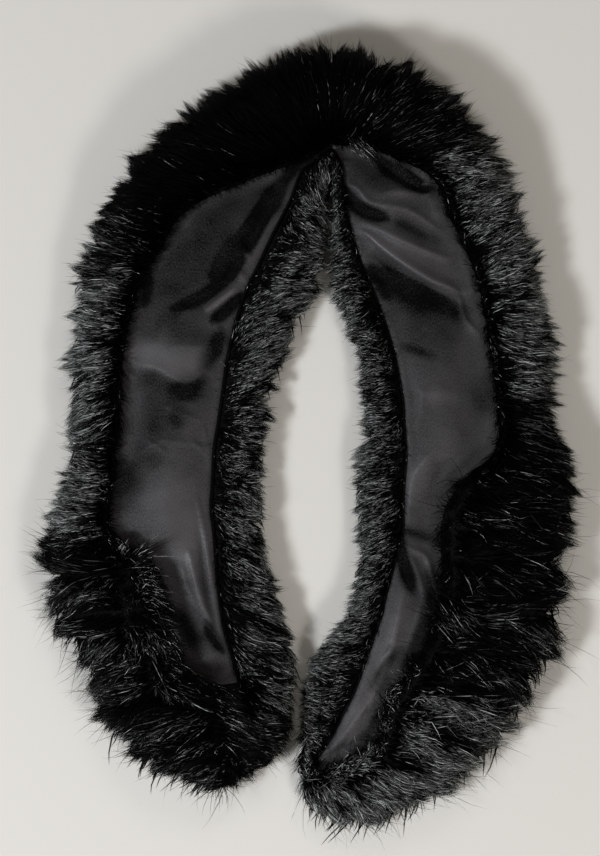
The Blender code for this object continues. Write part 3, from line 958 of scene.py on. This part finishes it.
@dataclass
class FurCloth:
    """The fur cloth of one half below its pile: a closed body in the CAD solid's form, drawn in."""

    half: Half
    stations: int = 130
    valley_cells: int = 26
    lip_cells: int = 3
    outer_cells: int = 22
    neck_cells: int = 16
    bed_gap: float = 0.5
    floor: float = 0.5

    def sections(self) -> Array:
        """The closed sections: valley, lip, outer roll, floor and neck roll, by place round and along."""
        half = self.half
        places = np.linspace(0, half.last, self.stations)
        row = half.row(places)
        loop: list[tuple[Array, Array]] = []
        for step in np.linspace(0, 1, self.valley_cells + 1):
            u = (row["lining"] + half.seam_gap) * step
            x, y = half.plan(row, u)
            bed = half.lining_base(row, u) + half.creased(x, y, row, u, False)
            loop.append((u, bed - self.bed_gap * np.minimum(1.0, u / half.fold_fade)))
        for step in np.linspace(1, 0, self.lip_cells + 1):
            u = row["shown"] + 2.0 + (row["lining"] - 1.7 - row["shown"]) * step
            loop.append((u, half.lining_base(row, u) + half.seam_gap + half.wall + half.lip_gap))
        for q in np.linspace(0.02, 1, self.outer_cells):
            u, z = half.cloth_outer(row, np.full_like(places, q))
            loop.append((u, np.maximum(z, self.floor)))
        loop.append((row["lining"] / 2, np.full_like(places, self.floor)))
        for q in np.linspace(1, 0.03, self.neck_cells):
            u, z = half.cloth_neck(row, np.full_like(places, q))
            loop.append((u, np.maximum(z, self.floor)))
        loop.append((np.full_like(places, -0.4), row["bed"] - 3.0))
        points = []
        for u, z in loop:
            x, y = half.plan(row, u)
            points.append(np.stack([x, y, z], axis=-1))
        return np.stack(points)

    def build(self, made: bpy.types.Material) -> bpy.types.Object:
        """Lofts the sections, closes both ends and lets the piece stand for its CAD node."""
        sections = self.sections() * MM
        count, stations, _ = sections.shape
        index = np.arange(count * stations).reshape(count, stations)
        around = np.roll(index, -1, axis=0)
        quads = np.stack(
            [index[:, :-1], around[:, :-1], around[:, 1:], index[:, 1:]], axis=-1
        ).reshape(-1, 4)
        if self.half.side is Side.LEFT:
            quads = quads[:, ::-1]
        ends = [index[:, 0], index[:, -1]]
        turn = 1 if self.half.side is Side.RIGHT else -1
        corners = np.concatenate([quads.ravel(), ends[0][::-turn], ends[1][::turn]])
        starts = np.concatenate([np.arange(len(quads)) * 4, len(quads) * 4 + np.array([0, count])])
        name = f"fur_cloth_{self.half.side.word}"
        mesh = mesh_of(name, sections.reshape(-1, 3), corners, starts)
        item = put_piece(name, mesh, made)
        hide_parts(f"fur_{self.half.side.word}")
        return item


def uneven_cells(rng: np.random.Generator, total: float, mean: float) -> Array:
    """Edges of cells of uneven width, from before 0 to past the total."""
    count = int(total / mean * 1.5) + 8
    return np.cumsum(mean * rng.uniform(0.45, 1.55, count)) - 3 * mean


@dataclass
class Pile:
    """The pile on the outer roll of one half, as tapered ribbons gathered in locks and tufts.

    Lengths along the strip are measured on its outline, from the centre back.
    """

    half: Half
    name: str
    first: float
    last: float
    count: int
    seed: int
    length: float = 21.0
    inward: float = 7.0
    over_lip: float = 3.0
    arch: float = 3.0
    width: float = 0.38
    lock: float = 2.7
    lock_reach: float = 6.5
    lock_turn: float = 3.2
    bend: float = 2.4
    tuft: float = 17.0
    gather: float = 0.95
    tuft_pull: float = 0.2
    point: float = 0.5
    swirl: float = 5.0
    uneven: float = 0.4
    stray: float = 0.07
    loose: float = 1.0
    fringe: float = 10.0
    guard: float = 5.0
    guard_share: float = 0.07
    # painted highlights: where on the profile the painted glints begin, and how bright they are painted
    dull: float = 0.06
    flash: float = 1.0
    span: float = 0.96
    least_height: float = 0.6

    def __post_init__(self) -> None:
        """Measures the strip and lays out its tufts and locks, alike for all piles of one half."""
        self.grid = np.linspace(0, self.half.last, 600)
        row = self.half.row(self.grid)
        self.edge_run = self.run_at(row, self.edge(row))
        self.inner_run = self.run_at(row, self.inner(row))
        rng = np.random.default_rng(40 + self.half.side.value)
        total = self.edge_run[-1]
        self.tufts = uneven_cells(rng, total, self.tuft)
        self.tuft_value = rng.uniform(-1, 1, (len(self.tufts), 3))
        self.locks = uneven_cells(rng, total, self.lock)
        self.bands = uneven_cells(rng, 160.0, 2.2 * self.lock)
        self.lock_value = rng.uniform(-1, 1, (len(self.locks), len(self.bands), 3))
        self.waves = rng.uniform((0.1, -0.25, 0), (0.26, 0.25, 2 * np.pi), (5, 3))

    def run_at(self, row: dict[str, Array], u: Array) -> Array:
        """The length along the strip at a distance across, for every place of the grid."""
        x, y = self.half.plan(row, u)
        return np.concatenate([[0], np.cumsum(np.hypot(np.diff(x), np.diff(y)))])

    def edge(self, row: dict[str, Array]) -> Array:
        """The distance across of the roll's outline."""
        return row["reach"]

    def inner(self, row: dict[str, Array]) -> Array:
        """The distance across of the roll's other side."""
        return row["shown"]

    def arc(self, row: dict[str, Array]) -> Array:
        """The length of the roll's profile."""
        return row["reach"] - row["shown"] + 0.9 * row["crown"]

    def root(self, row: dict[str, Array], q: Array) -> tuple[Array, Array]:
        """Where a hair leaves the fur cloth."""
        return self.half.cloth_outer(row, q)

    def comb(self, place: Array) -> dict[str, Array]:
        """How the pile lies at these places."""
        half = self.half
        return {
            "sweep": half.combed(place, "outer_sweep"),
            "parting": half.combed(place, "parting"),
            "glint": half.combed(place, "outer_glint"),
            "ragged": half.combed(place, "ragged"),
        }

    def surface(
        self, row: dict[str, Array], q: Array, over: Array, low: Array
    ) -> tuple[Array, Array]:
        """Where a tip comes to lie: on the solid's form, in the outline's fringe or over the lip.

        Args:
            row: The row's values at the tip.
            q: The tip's place on the profile, below 0 where it passes the lip.
            over: How far it reaches past the outline.
            low: How low it lies in the fringe, 0 to 1.

        Returns:
            The distance across and the height.
        """
        half = self.half
        u, z = half.outer(row, q)
        arc = self.arc(row)
        past = np.clip((q - WIDEST) * arc / self.fringe, 0, 1)
        edge_z = half.slot_top(row) * (0.1 + 0.8 * low)
        u = u + (row["reach"] + over - u) * past
        z = z + (edge_z - z) * past
        back = np.minimum(-q * arc, self.over_lip)
        lap = np.maximum(row["shown"] - back, 0.6)
        z_lap = half.lining_base(row, lap) + 3.0 + 2.5 * low
        return np.where(q < 0, lap, u), np.where(q < 0, z_lap, z)

    def swirled(self, s: Array, q: Array) -> Array:
        """A smooth uneven field from -1 to 1: the mean of five waves over the roll's surface."""
        across = 110.0 * np.minimum(q, 0.5)
        return sum(np.sin(k * s + m * across + p) for k, m, p in self.waves) / len(self.waves)

    def tips(self, s: Array, q: Array, over: Array, low: Array) -> Array:
        """Where the hairs end that are rooted at length s and place q of the profile."""
        half = self.half
        place = np.interp(s, self.edge_run, self.grid)
        comb = self.comb(place)
        cell = np.searchsorted(self.tufts, s)
        centre = (self.tufts[cell - 1] + self.tufts[cell]) / 2
        shift, reach, _ = self.tuft_value[cell].T
        outward = np.clip(q / 0.5, 0, 1)
        to_s = s + comb["sweep"] + outward * ((centre - s) * self.tuft_pull + 4.0 * shift)
        to_s = to_s + 2.0 * self.swirl * self.swirled(s, q)
        to_place = np.interp(to_s, self.edge_run, self.grid)
        row = half.row(to_place)
        lean = np.tanh((q - comb["parting"]) / 0.05)
        to_q = q + np.where(lean > 0, self.length, self.inward) * lean / self.arc(row)
        half_tuft = (self.tufts[cell] - self.tufts[cell - 1]) / 2
        pointed = np.clip(np.abs(centre - s) / half_tuft, 0, 1) ** 1.5
        over = over + comb["ragged"] * (0.7 * reach + 0.5 * self.point - self.point * pointed)
        u, z = self.surface(row, to_q, over, low)
        x, y = half.plan(row, u)
        return np.stack([x, y, z], axis=-1)

    def scattered(self, rng: np.random.Generator) -> Array:
        """Places spread evenly over the roll, between its outline and its other side."""
        mean_run = (self.edge_run + self.inner_run) / 2
        ends = np.interp((self.first, self.last), self.grid, mean_run)
        return np.interp(rng.uniform(*ends, self.count), mean_run, self.grid)

    def build(self, made: bpy.types.Material) -> bpy.types.Object:
        """Makes the hairs as one mesh.

        Each hair is a quadratic curve from its root over a raised middle to its tip, and its tip is
        drawn towards the tip that its lock's middle would have.

        Args:
            made: The pile's material.

        Returns:
            The piece.
        """
        rng = np.random.default_rng(self.seed)
        count = self.count
        place = self.scattered(rng)
        row = self.half.row(place)
        q = rng.random(count) * self.span
        s = np.interp(place, self.grid, self.edge_run)
        arc = self.arc(row)
        u0, z0 = self.root(row, q)
        root = np.stack([*self.half.plan(row, u0), z0], axis=-1)
        low = rng.random(count)
        spread = rng.normal(0, 1.0, count).clip(-2, 2)
        lock = np.searchsorted(self.locks, s)
        band = np.searchsorted(self.bands, q * arc)
        centre_s = (self.locks[lock - 1] + self.locks[lock]) / 2
        centre_a = (self.bands[band - 1] + self.bands[band]) / 2
        value = self.lock_value[lock, band]
        column = self.lock_value[lock, 0]
        outer = np.clip(q / 0.6, 0, 1)
        lock_s = centre_s + self.lock_turn * (outer * column[:, 0] + 1.4 * (1 - outer) * value[:, 0])
        lock_q = np.clip(centre_a / arc, 0, self.span)
        longer = self.guard * rng.random(count) * (rng.random(count) < self.guard_share) - 1.0
        lock_over = self.lock_reach * (outer * column[:, 1] + 0.25 * value[:, 1]) + longer
        tip = self.tips(s, q, spread * 1.5 + longer, low)
        lock_tip = self.tips(lock_s, lock_q, lock_over, 0.5 * low + 0.25)
        pull = self.gather * (1 - 0.3 * rng.random(count) ** 2) * (0.7 + 0.3 * outer)
        tip = tip + (lock_tip - tip) * pull[:, None]
        tip = root + (tip - root) * (1 - self.uneven * rng.random(count))[:, None]
        wild = rng.random(count) < self.stray
        loose = self.loose * np.where(wild, 3.0, 1.0 - 0.7 * outer)
        jitter = rng.normal(0, 1, (count, 3)) * loose[:, None]
        tip = tip + jitter * (1.2, 1.2, 0.7)
        tip[:, 2] += 1.6 * value[:, 2] * (1 - outer)
        tip[:, 2] = np.maximum(tip[:, 2], self.least_height + rng.random(count))
        tip[:, :2] = np.clip(tip[:, :2], np.negative(REACH), REACH)
        length = np.linalg.norm(tip - root, axis=-1)
        rise = self.arch * (0.5 + rng.random(count)) * np.clip(length / 20, 0.3, 1.5)
        middle = (root + tip) / 2
        middle[:, 2] += rise
        run = (tip - root)[:, :2] / length[:, None]
        middle[:, :2] += self.bend * value[:, 2:] * np.stack([-run[:, 1], run[:, 0]], axis=-1)
        middle += rng.normal(0, 0.9, (count, 3))
        middle[:, 2] = np.maximum(middle[:, 2], self.least_height)
        # painted highlights: which hairs get a painted grey glint, in patches, and how bright it is painted
        patch = 1.0 + 1.6 * self.swirled(s + 40.0, q) + 1.1 * value[:, 1]
        share = self.comb(place)["glint"]
        painted_glints = rng.random(count) < 1.5 / self.flash * share * patch * np.clip((q - self.dull) / 0.12, 0, 1)
        painted_lit = 0.12 + 0.88 * rng.random(count) ** (1.5 + 3.5 * (share < 0.25))
        painted_glint_amount = np.where(painted_glints, self.flash * painted_lit, 0.02 * share * rng.random(count))
        mesh = ribbons(self.name, root, middle, tip, self.width, painted_glint_amount, rng)
        return put_piece(self.name, mesh, made)


@dataclass
class RollPile(Pile):
    """The pile of a free end's roll, which is combed less than the rest."""

    swirl: float = 11.0
    loose: float = 2.6
    bend: float = 4.0
    lock: float = 5.2
    lock_turn: float = 7.5
    tuft_pull: float = 0.4
    point: float = 1.0


@dataclass
class NeckPile(Pile):
    """The pile on the neck side of the seam."""

    length: float = 13.0
    over_lip: float = 1.0
    lock: float = 3.2
    lock_reach: float = 3.5
    lock_turn: float = 2.4
    bend: float = 1.6
    tuft: float = 13.0
    arch: float = 2.0
    swirl: float = 3.5
    width: float = 0.36
    gather: float = 0.85
    loose: float = 1.0
    uneven: float = 0.35
    crossing: float = 9.0
    crossing_end: float = 7.4
    # painted highlights: the neck fur's painted glints begin at the seam and are painted dimmer
    dull: float = 0.0
    flash: float = 0.8

    def edge(self, row: dict[str, Array]) -> Array:
        """The distance across of the neck edge."""
        return -row["neck_fur"]

    def inner(self, row: dict[str, Array]) -> Array:
        """The distance across of the seam."""
        return np.zeros_like(row["neck_fur"])

    def arc(self, row: dict[str, Array]) -> Array:
        """The length of the neck roll's profile."""
        return row["neck_fur"] + 34.0

    def root(self, row: dict[str, Array], q: Array) -> tuple[Array, Array]:
        """Where a hair leaves the fur cloth on the neck side."""
        return self.half.cloth_neck(row, 0.01 + q)

    def comb(self, place: Array) -> dict[str, Array]:
        """How the neck fur lies at these places."""
        half = self.half
        return {
            "sweep": half.combed(place, "neck_sweep"),
            "parting": np.full_like(place, 0.035),
            "glint": half.combed(place, "neck_glint"),
            "ragged": 4.0 + self.crossing * np.clip((self.crossing_end - place) / 1.5, 0, 1),
        }

    def surface(
        self, row: dict[str, Array], q: Array, over: Array, low: Array
    ) -> tuple[Array, Array]:
        """Where a neck hair's tip comes to lie, like the outer roll's."""
        u, z = self.half.neck(row, q)
        arc = self.arc(row)
        past = np.clip((q - NECK_WIDEST) * arc / self.fringe, 0, 1)
        edge_z = row["bed"] * (0.1 + 0.8 * low)
        u = u + (-(row["neck_fur"] + over) - u) * past
        z = z + (edge_z - z) * past
        back = np.minimum(-q * arc, self.over_lip)
        return np.where(q < 0, back, u), np.where(q < 0, row["bed"] + 2.5 + 2.0 * low, z)


@dataclass
class UnderPile:
    """The pile under one half, pressed flat by the wrap's own weight and combed outwards."""

    half: Half
    count: int = 4400
    length: float = 24.0
    width: float = 1.1
    from_edge: float = 8.0

    def build(self, made: bpy.types.Material, seed: int) -> bpy.types.Object:
        """Makes the flat hairs as one mesh, each from just inside the fur cloth to just below it."""
        rng = np.random.default_rng(seed)
        place = np.sort(rng.uniform(0, self.half.last, self.count))
        row = self.half.row(place)
        share = rng.random(self.count)
        low = -np.maximum(row["neck_fur"] - self.from_edge, 1.0)
        high = np.maximum(row["reach"] - self.from_edge, 2.0)
        u = low + (high - low) * share
        lean = np.tanh((share - 0.35) / 0.2) + rng.normal(0, 0.3, self.count)
        reach = self.length * (0.5 + 0.5 * rng.random(self.count))
        room = np.where(lean > 0, high + self.from_edge / 2 - u, u - low + self.from_edge / 2)
        tip_u = u + np.sign(lean) * np.minimum(np.abs(lean) * reach, room)
        tip_place = np.clip(place + rng.normal(0.35, 0.4, self.count), 0, self.half.last)
        ends = []
        for at, across, level in ((row, u, 0.7), (self.half.row(tip_place), tip_u, 0.3)):
            x, y = self.half.plan(at, across)
            ends.append(np.stack([x, y, np.full_like(x, level)], axis=-1))
        root, tip = ends
        middle = (root + tip) / 2 + rng.normal(0, 1.5, (self.count, 3)) * (1, 1, 0)
        middle[:, 2] = 0.38
        name = f"under_pile_{self.half.side.word}"
        # a faint painted glint on every flat hair
        mesh = ribbons(name, root, middle, tip, self.width, np.full(self.count, 0.02), rng, 0.03)
        return put_piece(name, mesh, made)


@dataclass(frozen=True)
class Lock:
    """A lock of hairs that stands out, from its root to its tip in millimetres.

    Radius is the root's, fan is how far its tips scatter, bow bends it to its left, and the last field
    is the share of its hairs that get a painted glint.
    """

    root: tuple[float, float, float]
    tip: tuple[float, float, float]
    radius: float
    fan: float
    bow: float
    count: int
    glint: float

    def hairs(self, rng: np.random.Generator) -> tuple[Array, Array, Array, Array]:
        """Root, middle, tip and painted glint of each hair."""
        root = np.array(self.root) + rng.normal(0, self.radius / 2, (self.count, 3)) * (1, 1, 0.4)
        tip = np.array(self.tip) + rng.normal(0, self.fan / 2, (self.count, 3)) * (1, 1, 0.5)
        tip = root + (tip - root) * (1 - 0.45 * rng.random(self.count) ** 1.6)[:, None]
        run = np.array(self.tip) - np.array(self.root)
        side = np.array([-run[1], run[0], 0.0]) / np.hypot(run[0], run[1])
        middle = (root + tip) / 2 + side * self.bow + (0, 0, 2.0)
        middle += rng.normal(0, 0.6, (self.count, 3))
        for points in (root, middle, tip):
            points[:, 2] = np.maximum(points[:, 2], 0.6)
        # painted highlights: some hairs get a painted grey glint
        painted_lit = rng.random(self.count) < self.glint
        return root, middle, tip, np.where(painted_lit, 0.3 + 0.7 * rng.random(self.count), 0.02)


def locks(*rows: tuple[float, ...]) -> tuple[Lock, ...]:
    """Locks from rows of the root's and the tip's X, Y and Z, then radius, fan, bow, hairs and painted
    glint.
    """
    return tuple(Lock(row[:3], row[3:6], *row[6:]) for row in rows)


LOCKS = {
    Side.LEFT: locks(
        # over the lining from the left roll
        (-125, -82, 30, -116, -70, 36, 2, 3, 0.5, 22, 0.5),
        (-120, -86, 32, -95, -70, 33, 3, 8, 1, 70, 0.14),
        (-122, -88, 34, -100, -78, 34, 6, 9, 1, 120, 0.1),
        (-116, -94, 36, -96, -94, 33, 7, 10, 1.5, 160, 0.16),
        (-114, -102, 36, -90, -108, 33, 7, 10, 1.5, 200, 0.14),
        (-110, -114, 36, -88, -124, 32, 7, 10, 1.5, 200, 0.1),
        (-104, -128, 36, -82, -140, 32, 7, 10, 1.5, 200, 0.1),
        # beside the lining's end
        (-96, -146, 36, -78, -158, 31, 6, 8, 1.5, 200, 0.16),
        # over the seam below the lining's end
        (-80, -158, 40, -57, -168, 36, 6, 9, 1.5, 180, 0.14),
        (-68, -166, 42, -44, -178, 40, 7, 9, 1.5, 260, 0.16),
        (-62, -178, 42, -37, -190, 40, 7, 9, 1.5, 280, 0.16),
        (-58, -192, 38, -34, -202, 34, 7, 9, 1.5, 260, 0.2),
        (-60, -204, 30, -36, -212, 24, 7, 8, 1, 220, 0.2),
        (-58, -214, 20, -40, -224, 10, 7, 8, 1, 200, 0.25),
        # outline of the leg and of the roll
        (-140, 24, 14, -157, 4, 8, 5, 3.5, -2, 260, 0.2),
        (-140, 12, 14, -150, -4, 8, 5, 3.5, -2, 220, 0.3),
        (-150, -60, 14, -174, -68, 6, 5, 3.5, 2, 220, 0.1),
        (-152, -92, 14, -176, -100, 6, 5, 3.5, 2, 220, 0.1),
        (-140, -118, 14, -160, -130, 5, 6, 5, 2, 220, 0.3),
        (-132, -136, 14, -152, -152, 5, 6, 5, 2, 220, 0.3),
        (-124, -160, 14, -140, -184, 4, 8, 5, 2, 320, 0.1),
        (-114, -172, 14, -134, -192, 4, 8, 5, 2, 320, 0.1),
        (-106, -186, 14, -118, -210, 4, 9, 5, 2, 340, 0.1),
        (-95, -192, 14, -103, -214, 4, 8, 6, 2, 300, 0.15),
        (-84, -198, 14, -90, -221, 4, 8, 6, 2, 300, 0.15),
        (-68, -204, 14, -72, -229, 4, 7, 6, 2, 220, 0.1),
        (-60, -208, 12, -60, -233, 3, 7, 6, 1, 260, 0.15),
        (-52, -210, 12, -48, -233, 3, 7, 6, -1, 260, 0.2),
        (-44, -206, 12, -36, -227, 3, 7, 6, -2, 240, 0.3),
        (-38, -198, 14, -24, -216, 4, 7, 6, -2, 220, 0.3),
        (-32, -190, 16, -14, -211, 4, 7, 7, -1, 260, 0.25),
        (-26, -176, 16, -11, -198, 5, 7, 7, 0, 220, 0.25),
        # where the neck fur of both halves meets
        (2, 146, 22, 16, 140, 16, 6, 6, 0, 160, 0.15),
        (-2, 132, 20, 14, 124, 14, 6, 6, 0, 160, 0.15),
        (-6, 118, 20, 11, 108, 12, 6, 6, 0, 160, 0.2),
        (-8, 106, 20, 6, 95, 12, 5, 6, 0, 130, 0.2),
        # neck edge
        (-32, 32, 18, -19, 29, 12, 4, 3, 0, 140, 0.3),
        (-34, 14, 18, -21, 8, 12, 4, 3, 0, 140, 0.2),
        (-18, 88, 18, -5, 80, 12, 4, 4, 0, 140, 0.3),
    ),
    Side.RIGHT: locks(
        (92, 190, 30, 117, 191, 18, 9, 5, 0, 320, 0.05),
        (80, 206, 34, 102, 209, 18, 9, 5, 0, 280, 0.05),
        # over the lining at the centre back
        (24, 194, 46, 43, 173, 31, 7, 9, 1, 110, 0.3),
        # where the neck fur of both halves meets
        (24, 150, 22, 12, 142, 16, 6, 6, 0, 130, 0.15),
        (27, 134, 20, 11, 124, 14, 6, 6, 0, 130, 0.15),
        (27, 116, 20, 12, 104, 12, 5, 6, 0, 120, 0.2),
        (150, -20, 16, 174, -24, 8, 6, 4, 0, 240, 0.15),
        (150, -52, 16, 175, -66, 8, 6, 4, 0, 240, 0.1),
        (142, -96, 16, 170, -108, 6, 6, 4, 0, 240, 0.1),
        (44, -236, 12, 36, -257, 3, 6, 3, 0, 240, 0.5),
        (22, -226, 14, 8, -244, 4, 6, 5, 0, 220, 0.4),
        (2, -190, 18, -9, -204, 8, 5, 6, 0, 180, 0.35),
        (1, -204, 16, -10, -220, 6, 5, 6, 0, 200, 0.4),
        (3, -214, 14, -6, -238, 5, 5, 6, 0, 240, 0.45),
        # grey patches of painted glints on the roll
        (84, -112, 36, 104, -132, 38, 12, 14, 0, 260, 0.22),
        (100, -140, 36, 124, -152, 34, 12, 14, 0, 240, 0.2),
    ),
}


def lock_piece(side: Side, made: bpy.types.Material, seed: int) -> bpy.types.Object:
    """All the locks of one side that stand out, as one piece."""
    rng = np.random.default_rng(seed)
    parts = [lock.hairs(rng) for lock in LOCKS[side]]
    root, middle, tip, painted_glint_amount = (np.concatenate(column) for column in zip(*parts))
    name = f"locks_{side.word}"
    return put_piece(name, ribbons(name, root, middle, tip, 0.36, painted_glint_amount, rng), made)


def ribbons(
    name: str,
    root: Array,
    middle: Array,
    tip: Array,
    width: float,
    painted_glint_amount: Array,
    rng: np.random.Generator,
    turn: float = 0.55,
) -> bpy.types.Mesh:
    """Tapered ribbons, one for each hair, as a single mesh.

    A hair's centre at t is (1-t)^2 root + 2t(1-t) middle' + t^2 tip, where middle' makes the curve pass
    through middle. Its half width shrinks from the root and is 0 at the tip, across a direction turned
    at random round the hair.

    Args:
        name: The mesh's name.
        root: Roots in millimetres.
        middle: Points halfway along.
        tip: Tips in millimetres.
        width: Width at the root in millimetres.
        painted_glint_amount: How much painted glint each hair gets, 0 to 1.
        rng: The source of the turns.
        turn: How far the ribbons turn out of the level.

    Returns:
        The mesh, with a UV map of painted glint and place along the hair.
    """
    count = len(root)
    control = 2 * middle - (root + tip) / 2
    steps = np.array([0.0, 0.38, 0.72])
    widths = np.array([1.0, 0.85, 0.5]) * width / 2
    t = steps[None, :, None]
    centre = (1 - t) ** 2 * root[:, None] + 2 * t * (1 - t) * control[:, None] + t**2 * tip[:, None]
    along = tip - root
    along /= np.linalg.norm(along, axis=-1, keepdims=True)
    up = np.array([0.0, 0.0, 1.0]) + rng.normal(0, turn, (count, 3))
    across = np.cross(along, up)
    across /= np.linalg.norm(across, axis=-1, keepdims=True)
    offset = across[:, None] * widths[None, :, None]
    points = np.empty((count, 7, 3))
    points[:, 0:6:2] = centre - offset
    points[:, 1:6:2] = centre + offset
    points[:, 6] = tip
    base = (np.arange(count) * 7)[:, None]
    quads = base + np.array([[0, 1, 3, 2, 2, 3, 5, 4]])
    ends = base + np.array([[4, 5, 6]])
    corners = np.concatenate([quads.ravel(), ends.ravel()])
    starts = np.concatenate([np.arange(count * 2) * 4, count * 8 + np.arange(count) * 3])
    mesh = mesh_of(name, points.reshape(-1, 3) * MM, corners, starts)
    layer = mesh.uv_layers.new(name="pile")
    along_v = np.array([0, 0, 0.38, 0.38, 0.72, 0.72, 1.0])
    corner = np.empty(len(mesh.loops), np.int32)
    mesh.loops.foreach_get("vertex_index", corner)
    # painted highlights: U carries each hair's painted glint amount
    uv = np.stack([painted_glint_amount[corner // 7], along_v[corner % 7]], axis=-1)
    layer.data.foreach_set("uv", uv.astype(np.float32).ravel())
    return mesh


@dataclass
class Lining:
    """The satin lining of one half: a thin shell on its CAD solid, with its creases."""

    half: Half
    stations: int = 290
    lines: int = 58
    cloth: float = 0.5
    roll: float = 1.6
    hem: float = 5.5
    hem_height: float = 0.35

    def surface(self) -> tuple[Array, Array, Array]:
        """The lower face's points, their flat places and the painted shade there."""
        half = self.half
        places = np.linspace(0, LINING_END[half.side], self.stations)
        row = half.row(places)
        steps = np.linspace(0, 1, self.lines)[:, None]
        u = half.seam_gap + (row["lining"] - half.seam_gap) * steps
        wide = {name: np.broadcast_to(value, u.shape) for name, value in row.items()}
        x, y = half.plan(wide, u)
        tuck = self.roll * np.exp(-((u / self.roll) ** 2))
        hem = self.hem_height / (1 + np.exp((u - self.hem) / 0.6))
        z = half.lining_base(wide, u) + half.seam_gap - tuck + hem
        z = z + half.creased(x, y, wide, u, True)
        mid_x, mid_y = half.plan(row, row["lining"] / 2)
        run = np.concatenate([[0], np.cumsum(np.hypot(np.diff(mid_x), np.diff(mid_y)))])
        flat = np.stack([u, np.broadcast_to(run, u.shape)], axis=-1)
        return np.stack([x, y, z], axis=-1), flat, half.turned(x, y)

    def build(self, made: bpy.types.Material) -> bpy.types.Object:
        points, flat, turned = self.surface()
        lines, stations, _ = points.shape
        index = np.arange(lines * stations).reshape(lines, stations)
        quads = np.stack(
            [index[:-1, :-1], index[1:, :-1], index[1:, 1:], index[:-1, 1:]], axis=-1
        ).reshape(-1, 4)
        if self.half.side is Side.LEFT:
            quads = quads[:, ::-1]
        word = self.half.side.word
        mesh = mesh_of(
            f"lining_shell_{word}",
            points.reshape(-1, 3) * MM,
            quads.ravel(),
            np.arange(len(quads)) * 4,
        )
        layer = mesh.uv_layers.new(name="cloth")
        corner = np.empty(len(mesh.loops), np.int32)
        mesh.loops.foreach_get("vertex_index", corner)
        layer.data.foreach_set("uv", flat.reshape(-1, 2)[corner].astype(np.float32).ravel())
        # painted shade and painted highlight of the satin, carried as a point attribute
        painted_shade_field = mesh.attributes.new("turned", "FLOAT", "POINT")
        painted_shade_field.data.foreach_set("value", turned.astype(np.float32).ravel())
        item = put_piece(f"lining_shell_{word}", mesh, made)
        wall = item.modifiers.new("cloth", "SOLIDIFY")
        wall.thickness = self.cloth * MM
        wall.offset = 1.0
        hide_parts(f"lining_{word}")
        return item


@dataclass
class Studio:
    """The table, the lights and the camera over the wrap."""

    frame_height: float = 0.5564
    frame_centre: tuple[float, float] = (-0.0065, 0.0039)
    camera_height: float = 2.2
    outline_height: float = 0.015
    sensor: float = 36.0

    def table(self) -> None:
        """A pale table top under the wrap."""
        points = np.array([(-3, -3, 0), (3, -3, 0), (3, 3, 0), (-3, 3, 0)], float)
        mesh = mesh_of("table_top", points, np.arange(4), np.array([0]))
        mesh.materials.append(TableTop().build())
        into_scene("table_top", mesh)

    def light(
        self, name: str, place: tuple[float, float, float], size: float, power: float, colour: str
    ) -> None:
        """Adds a square soft light that points at the wrap's middle.

        Args:
            name: Its name.
            place: Where it stands, in metres.
            size: Its side in metres.
            power: Its power in watts.
            colour: Its sRGB hex colour.
        """
        data = bpy.data.lights.new(name, "AREA")
        data.size = size
        data.energy = power
        data.color = linear(colour)[:3]
        item = into_scene(name, data)
        item.location = place
        item.rotation_euler = (-Vector(place)).to_track_quat("-Z", "Y").to_euler()

    def lights(self) -> None:
        """A lamp on the lower left, weaker ones on the lower right and at the back, and an even sky."""
        self.light("lamp_left", (-1.6, -0.8, 1.85), 0.36, 52.0, "#fbfbff")
        self.light("lamp_right", (0.9, -1.1, 1.5), 0.35, 14.5, "#fff8f2")
        self.light("lamp_back", (0.15, 1.8, 1.9), 0.6, 8.0, "#fffaf4")
        world = bpy.data.worlds.new("sky")
        world.use_nodes = True
        world.node_tree.nodes["Background"].inputs["Color"].default_value = linear("#fff0e2")
        world.node_tree.nodes["Background"].inputs["Strength"].default_value = 0.17
        bpy.context.scene.world = world

    def camera(self) -> None:
        """A long lens straight above, with the frame's height at the level of the fur's outline."""
        data = bpy.data.cameras.new("overhead")
        data.sensor_fit = "AUTO"
        data.sensor_width = self.sensor
        distance = self.camera_height - self.outline_height
        data.lens = self.sensor * distance / self.frame_height
        item = into_scene("overhead", data)
        item.location = (*self.frame_centre, self.camera_height)
        bpy.context.scene.camera = item

    def build(self) -> None:
        """Sets up the whole studio and the picture's tone."""
        self.table()
        self.lights()
        self.camera()
        bpy.context.scene.view_settings.view_transform = "Standard"


# The draws' seeds
FIRST_SEED = 7
UNDER_SEED = 70
LOCK_SEED = 50
# Where tips may reach, in X and Y on both sides of the middle
REACH = (192.0, 276.0)
# The piles of each half: name, kind, first and last row, and hairs
PILES = (
    ("back_pile", Pile, 0.0, 4.5, 16000),
    ("leg_pile", Pile, 4.5, 14.0, 18000),
    ("end_pile", RollPile, 14.0, None, 21500),
    ("neck_pile", NeckPile, 0.0, None, 16500),
)


def main() -> None:
    """Builds the wrap piece by piece, then the studio round it."""
    logging.basicConfig(level=logging.INFO, format="%(name)s: %(message)s")
    Studio().build()
    fur = AcrylicPile().build()
    backing = PileBacking().build()
    satin = SatinLining().build()
    seed = FIRST_SEED
    for side in Side:
        half = Half(side)
        for item in (FurCloth(half).build(backing), Lining(half).build(satin)):
            LOG.info("%s: %d faces", item.name, len(item.data.polygons))
        for name, kind, first, last, count in PILES:
            seed += 1
            last = half.last if last is None else last
            pile = kind(half, f"{name}_{side.word}", first, last, count, seed)
            item = pile.build(fur)
            LOG.info("%s: %d hairs", item.name, count)
        for item in (UnderPile(half).build(fur, seed + UNDER_SEED), lock_piece(side, fur, seed + LOCK_SEED)):
            LOG.info("%s: %d faces", item.name, len(item.data.polygons))


if __name__ == "__main__":
    main()
